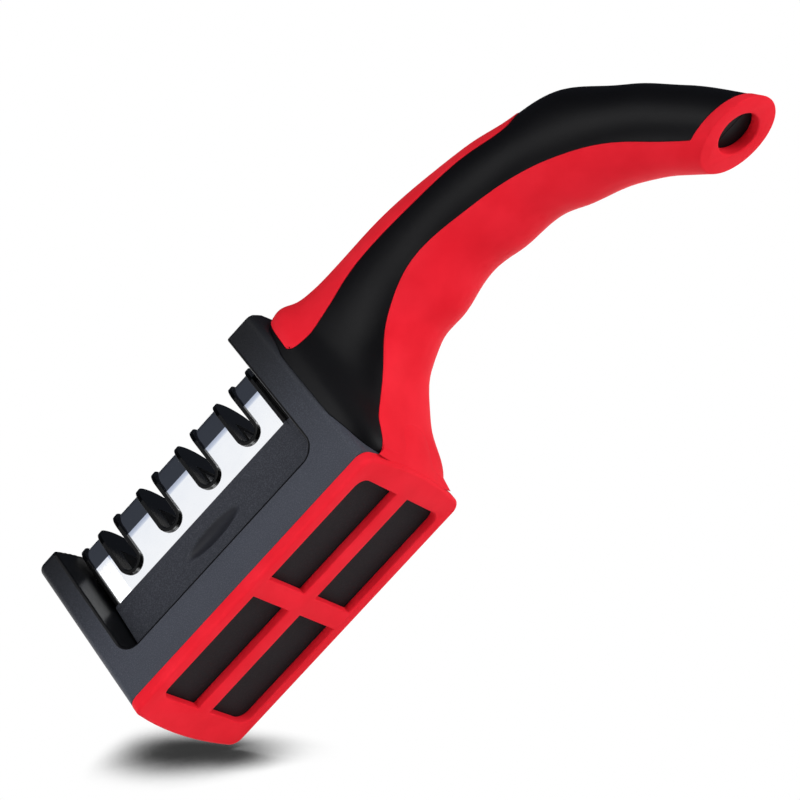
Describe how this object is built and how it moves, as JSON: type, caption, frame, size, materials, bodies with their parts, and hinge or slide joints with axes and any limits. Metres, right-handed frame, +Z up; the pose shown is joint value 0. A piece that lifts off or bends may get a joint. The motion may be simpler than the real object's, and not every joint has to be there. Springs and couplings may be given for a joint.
{
  "type": "pull through knife sharpener",
  "caption": "Pull-through knife sharpener with a lift-out slotted cartridge in a cradle and an arched, soft-gripped handle that ends in a foot ring.",
  "frame": {"origin": "middle of the sole's cross bar, on the table", "axes": "+X along the length towards the handle's end, +Y across, away from the pictured side, +Z up"},
  "size_m": [0.2129, 0.043, 0.0602],
  "materials": {
    "housing_plastic": "fine grained charcoal moulding",
    "plate_plastic": "dark moulding",
    "screw_steel": "zinc plated steel",
    "soft_red": "soft matte red",
    "handle_plastic": "satin black",
    "cartridge_plastic": "charcoal moulding, glossier lips",
    "cover_steel": "polished stainless steel",
    "holder_plastic": "dark moulding",
    "carbide": "ground tungsten carbide",
    "diamond_grit": "diamond coated steel",
    "ceramic_white": "fine white ceramic"
  },
  "bodies": {
    "cradle": {"housing": "housing_plastic", "base_plate": "plate_plastic", "base_screws": "screw_steel", "soft_overmould": "soft_red", "top_pad": "soft_red", "handle_near_half": "handle_plastic", "handle_far_half": "handle_plastic", "handle_screws": "screw_steel"},
    "cartridge": {"cartridge_body": "cartridge_plastic", "cartridge_cover": "cover_steel", "cartridge_base": "plate_plastic", "cartridge_screws": "screw_steel", "scissor_holder": "holder_plastic", "carbide_holder": "holder_plastic", "diamond_holder": "holder_plastic", "ceramic_holder": "holder_plastic", "scissor_plates": "carbide", "carbide_blades": "carbide", "diamond_rods": "diamond_grit", "ceramic_rods": "ceramic_white"}
  },
  "joints": [
    {"name": "cartridge_lift", "type": "slide", "parent": "cradle", "child": "cartridge", "axis": [0, 0, 1], "range_m": [0, 0.048]}
  ]
}
